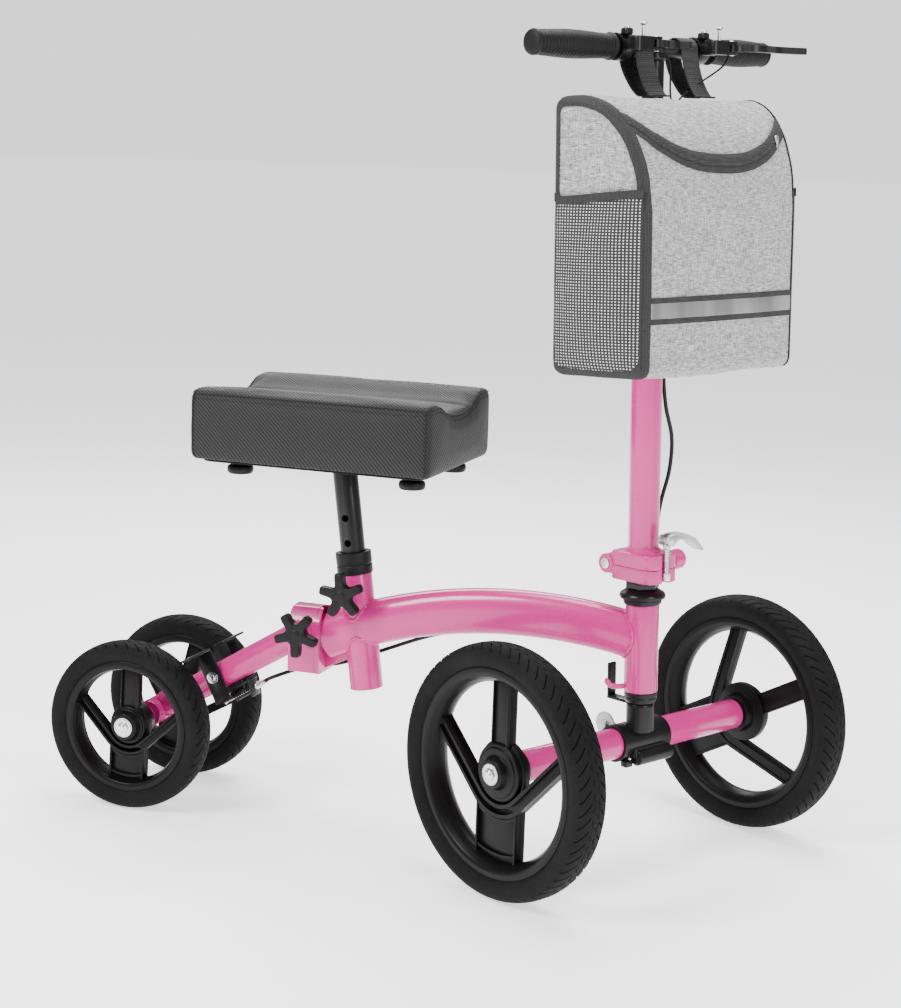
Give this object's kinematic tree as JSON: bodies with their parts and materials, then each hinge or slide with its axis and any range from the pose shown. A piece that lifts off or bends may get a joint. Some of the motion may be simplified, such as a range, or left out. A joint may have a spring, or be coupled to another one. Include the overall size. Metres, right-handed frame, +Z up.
{
  "type": "knee scooter",
  "caption": "All-terrain knee scooter with a pink frame, black solid tyres, a channelled knee pad, a folding steering column, hand brakes and a front bag",
  "frame": {"origin": "on the ground, at the middle of the bounding box", "axes": "+X forward, the way it is ridden; +Y to the rider's left; +Z up"},
  "size_m": [0.9968, 0.555, 1.0095],
  "materials": {
    "pink_paint": "gloss",
    "black_metal": "satin",
    "rim_plastic": "gloss",
    "tyre_rubber": "matte",
    "grip_rubber": "matte",
    "knob_plastic": "matte",
    "bright_steel": "brushed",
    "pad_cover": "matte",
    "bag_cloth": "matte",
    "webbing": "matte",
    "cable_sheath": "satin"
  },
  "bodies": {
    "frame": {"main_beam": "pink_paint", "head_tube": "pink_paint", "seat_tube": "pink_paint", "seat_collar": "knob_plastic", "rear_socket": "pink_paint", "rear_tube": "pink_paint", "rear_cross_tube": "pink_paint", "rear_axle": "bright_steel", "upper_headset_cup": "black_metal", "lower_headset_cup": "black_metal", "steering_hook": "pink_paint", "cable_stop": "black_metal", "barrel_adjuster": "bright_steel", "brake_pivot_bolt": "bright_steel", "cable_lower": "cable_sheath"},
    "fork": {"steerer": "black_metal", "axle_clamp": "black_metal", "front_axle_tube": "pink_paint", "front_axle": "bright_steel", "headset_nut": "black_metal", "fold_base": "pink_paint", "steering_stop_tab": "black_metal"},
    "column": {"column": "pink_paint", "fold_top": "pink_paint", "fold_pin": "bright_steel", "cable_upper": "cable_sheath"},
    "clamp_bolt": {"clamp_lever_bolt": "bright_steel"},
    "clamp_lever": {"clamp_lever": "bright_steel"},
    "height_knob": {"height_knob": "knob_plastic"},
    "handlebar": {"stem": "black_metal", "handlebar": "black_metal", "right_grip": "grip_rubber", "left_grip": "grip_rubber", "right_lever_bracket": "black_metal", "left_lever_bracket": "black_metal", "bag": "bag_cloth", "right_bag_strap": "webbing", "left_bag_strap": "webbing"},
    "right_lever": {"right_brake_lever": "black_metal"},
    "left_lever": {"left_brake_lever": "black_metal"},
    "right_pin": {"right_parking_pin": "bright_steel"},
    "left_pin": {"left_parking_pin": "bright_steel"},
    "seat": {"seat_post": "black_metal", "pad_board": "knob_plastic", "knee_pad": "pad_cover", "pad_knob_1": "knob_plastic", "pad_knob_2": "knob_plastic", "pad_knob_3": "knob_plastic", "pad_knob_4": "knob_plastic"},
    "seat_knob": {"seat_height_knob": "knob_plastic"},
    "socket_knob": {"rear_socket_knob": "knob_plastic"},
    "brake": {"brake_yoke": "black_metal"},
    "front_right_wheel": {"front_right_tyre": "tyre_rubber", "front_right_rim": "rim_plastic"},
    "front_left_wheel": {"front_left_tyre": "tyre_rubber", "front_left_rim": "rim_plastic"},
    "rear_right_wheel": {"rear_right_tyre": "tyre_rubber", "rear_right_rim": "rim_plastic"},
    "rear_left_wheel": {"rear_left_tyre": "tyre_rubber", "rear_left_rim": "rim_plastic"}
  },
  "joints": [
    {"name": "steering", "type": "hinge", "parent": "frame", "child": "fork", "pos_m": [0.26541, -0.0073, 0.26986], "axis": [-0.0321, 0, 0.9995], "range_deg": [-16, 74]},
    {"name": "column_fold", "type": "hinge", "parent": "fork", "child": "column", "pos_m": [0.22884, 0.01106, 0.37224], "axis": [-0.483, -0.8755, -0.0155], "range_deg": [0, 40]},
    {"name": "clamp_swing", "type": "hinge", "parent": "fork", "child": "clamp_bolt", "pos_m": [0.29545, -0.02557, 0.36537], "axis": [0.483, 0.8755, 0.0155], "range_deg": [0, 75]},
    {"name": "clamp_lever_turn", "type": "hinge", "parent": "clamp_bolt", "child": "clamp_lever", "pos_m": [0.29401, -0.02557, 0.41035], "axis": [0.875, -0.4833, 0.0281], "range_deg": [0, 80]},
    {"name": "height_knob_turn", "type": "hinge", "parent": "column", "child": "height_knob", "pos_m": [0.20595, 0.0159, 0.81223], "axis": [0.875, -0.4833, 0.0281], "continuous": true},
    {"name": "handlebar_height", "type": "slide", "parent": "column", "child": "handlebar", "axis": [-0.0321, 0, 0.9995], "range_m": [-0.06, 0.05]},
    {"name": "right_lever_squeeze", "type": "hinge", "parent": "handlebar", "child": "right_lever", "pos_m": [0.25561, -0.04767, 0.98391], "axis": [-0.0321, 0, 0.9995], "range_deg": [0, 10], "stiffness_Nm_per_rad": 0.6, "springref_deg": -5.73},
    {"name": "left_lever_squeeze", "type": "hinge", "parent": "handlebar", "child": "left_lever", "pos_m": [0.3184, 0.06614, 0.98593], "axis": [-0.0321, 0, 0.9995], "range_deg": [0, 10], "stiffness_Nm_per_rad": 0.6, "springref_deg": -5.73},
    {"name": "right_pin_press", "type": "slide", "parent": "handlebar", "child": "right_pin", "axis": [-0.0321, 0, 0.9995], "range_m": [-0.004, 0], "stiffness_N_per_m": 200, "springref_m": 0.002},
    {"name": "left_pin_press", "type": "slide", "parent": "handlebar", "child": "left_pin", "axis": [-0.0321, 0, 0.9995], "range_m": [-0.004, 0], "stiffness_N_per_m": 200, "springref_m": 0.002},
    {"name": "seat_height", "type": "slide", "parent": "frame", "child": "seat", "axis": [-0.1323, 0, 0.9912], "range_m": [-0.06, 0.06]},
    {"name": "seat_knob_turn", "type": "hinge", "parent": "frame", "child": "seat_knob", "pos_m": [-0.10823, -0.0573, 0.30529], "axis": [0, 1, 0], "continuous": true},
    {"name": "socket_knob_turn", "type": "hinge", "parent": "frame", "child": "socket_knob", "pos_m": [-0.168, -0.0593, 0.249], "axis": [0, 1, 0], "continuous": true},
    {"name": "brake_swing", "type": "hinge", "parent": "frame", "child": "brake", "pos_m": [-0.2975, -0.0073, 0.1695], "axis": [0, -1, 0], "range_deg": [0, 1.6], "stiffness_Nm_per_rad": 1.5, "springref_deg": -2.86},
    {"name": "front_right_spin", "type": "hinge", "parent": "fork", "child": "front_right_wheel", "pos_m": [0.15169, -0.18893, 0.152], "axis": [0.4833, 0.8755, 0], "continuous": true},
    {"name": "front_left_spin", "type": "hinge", "parent": "fork", "child": "front_left_wheel", "pos_m": [0.36027, 0.18892, 0.152], "axis": [0.4833, 0.8755, 0], "continuous": true},
    {"name": "rear_right_spin", "type": "hinge", "parent": "frame", "child": "rear_right_wheel", "pos_m": [-0.388, -0.08605, 0.1104], "axis": [0, 1, 0], "continuous": true},
    {"name": "rear_left_spin", "type": "hinge", "parent": "frame", "child": "rear_left_wheel", "pos_m": [-0.388, 0.07145, 0.1104], "axis": [0, 1, 0], "continuous": true}
  ],
  "couplings": [
    {"joint": "brake_swing", "follows": "left_lever_squeeze", "ratio": 0.16}
  ]
}
